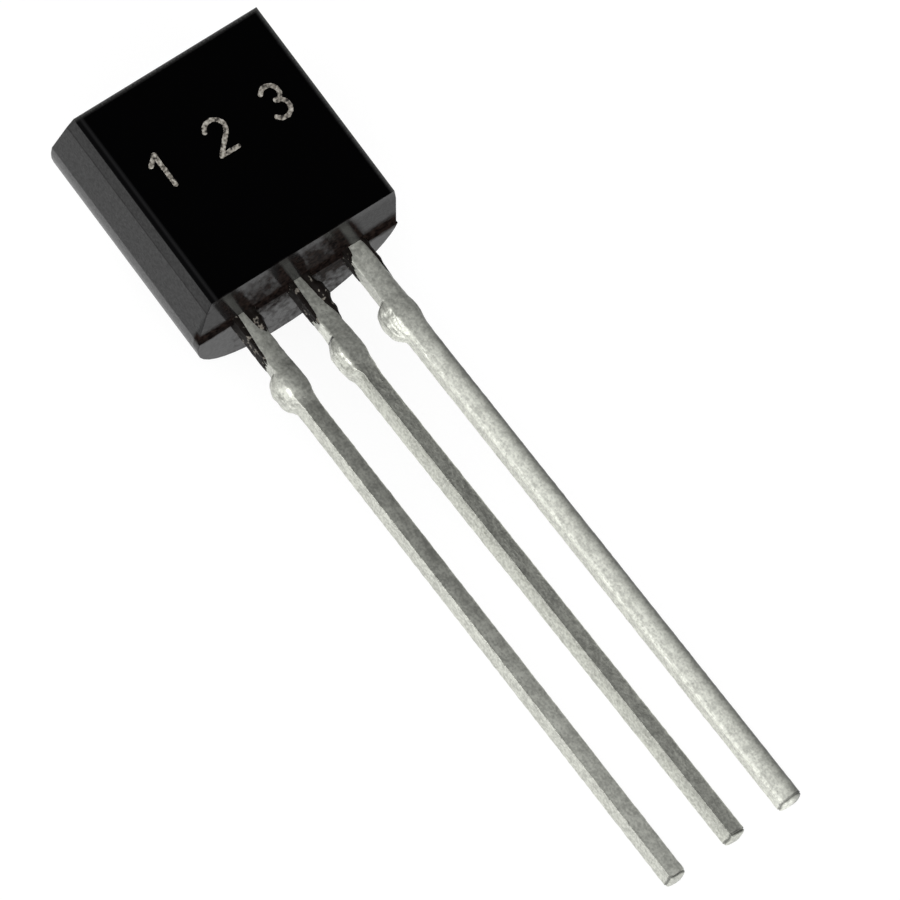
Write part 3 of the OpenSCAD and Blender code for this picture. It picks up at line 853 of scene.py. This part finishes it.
def film_mesh(lead, points, fin):
    """Closed skin that wraps the root of a lead and thins out to its ragged edge."""
    rings = [coat_ring(lead, i * FLASH_STEP - RINGS_ROOT)
             for i in range(int(FLASH_SPAN / FLASH_STEP))]
    sides = len(rings[0])
    rows = [r / FLASH_ROWS for r in range(FLASH_ROWS + 1)]
    shell = [(share, FLASH_THICK if share < FLASH_END else FLASH_END_DEPTH) for share in rows]
    shell += [(share, FLASH_UNDER) for share in reversed(rows)]
    verts = []
    for share, proud in shell:
        for i in range(sides):
            along = share * film_reach(points, rings[0][i][2], lead["seed"]) - FLASH_ROOT
            spot = (along + RINGS_ROOT) / FLASH_STEP
            near, far = rings[int(spot)][i], rings[int(spot) + 1][i]
            lump = 0
            if proud > 0:
                from_right = abs((near[2] + 0.5) % 1 - 0.5)
                lump = FLASH_LUMPS * noise.noise(near[0] * FLASH_FINE)
                lump += (fin * ease(from_right, FIN_EDGE, FIN_FULL)
                         * min(1, FIN_SLOPE - FIN_SLOPE * share)
                         * (FIN_LEAST + FIN_SPREAD * noise.noise(near[0] * FIN_FINE)))
            verts.append(near[0].lerp(far[0], spot % 1) + near[1] * (proud + lump))
    faces = tube_faces(len(shell), sides)
    last = (len(shell) - 1) * sides
    faces += [(last + i, i, (i + 1) % sides, last + (i + 1) % sides) for i in range(sides)]
    return verts, faces


flash_skin, tree, shader = finish("mould_flash", IOR=1.5, Specular_IOR_Level=0.1, Roughness=0.55)
place = package_place(tree)
bare = steps(tree, grain(tree, place, *BARE_GRAIN), BARE_STOPS)
tree.links.new(blend(tree, bare, FLASH_BLACK, FLASH_PALE), shader.inputs["Base Color"])
roughen(tree, shader, grain(tree, place, *FLASH_GRAIN), FLASH_BUMP)
for name, lead in LEADS.items():
    verts, faces = film_mesh(lead, FLASH_REACH[name], FLASH_FIN[name])
    film = piece(f"{name}_mould_flash", verts, faces, flash_skin)

# ---- Die and wires -----------------------------------------------------------------------
# A chip of silicon is soldered to the collector's paddle, and two gold wires join its
# contacts to the emitter's and the base's pads. All of it is sealed inside the case.
# How fine the chip's cells are per millimetre, and where their edges end and their middles begin
CELLS, CELL_EDGE = 14.0, (0.02, 0.06)
CELL_EDGE_TAN, CELL_BLUE = (0.3, 0.27, 0.2), (0.08, 0.09, 0.13)
SILICON_GRAIN, SILICON_ROUGH = (8,), (0.12, 0.22)
# Grain, dark and light colour, and smoothest and roughest
SOLDER = ((12, 4), (0.42, 0.42, 0.4), (0.66, 0.66, 0.62), (0.3, 0.55))
GOLD = ((40, 2), (0.75, 0.5, 0.16), (0.9, 0.68, 0.28), (0.18, 0.3))

silicon, tree, shader = finish("polished_silicon", Metallic=0.6)
place = package_place(tree)
cells = add(tree, "ShaderNodeTexVoronoi", {"Vector": place, "Scale": CELLS},
            feature="DISTANCE_TO_EDGE", distance="CHEBYCHEV")
tree.links.new(blend(tree, between(tree, cells.outputs[0], *CELL_EDGE), CELL_EDGE_TAN, CELL_BLUE),
               shader.inputs["Base Color"])
polish = between(tree, grain(tree, place, *SILICON_GRAIN), *GRAIN_RANGE, *SILICON_ROUGH)
tree.links.new(polish, shader.inputs["Roughness"])


def bare_metal(name, kind, dark, light, rough):
    """Metal whose colour and roughness vary with one grain."""
    made, tree, shader = finish(name, Metallic=1.0)
    drawn = grain(tree, package_place(tree), *kind)
    tree.links.new(blend(tree, drawn, dark, light), shader.inputs["Base Color"])
    tree.links.new(between(tree, drawn, *GRAIN_RANGE, *rough), shader.inputs["Roughness"])
    return made


solder = bare_metal("die_solder", *SOLDER)
gold = bare_metal("drawn_gold", *GOLD)

for node, material in (("die", silicon), ("die_attach", solder), ("emitter_wire", gold),
                       ("base_wire", gold)):
    inner = frame["nodes"][node]
    inner.data.materials.clear()
    inner.data.materials.append(material)
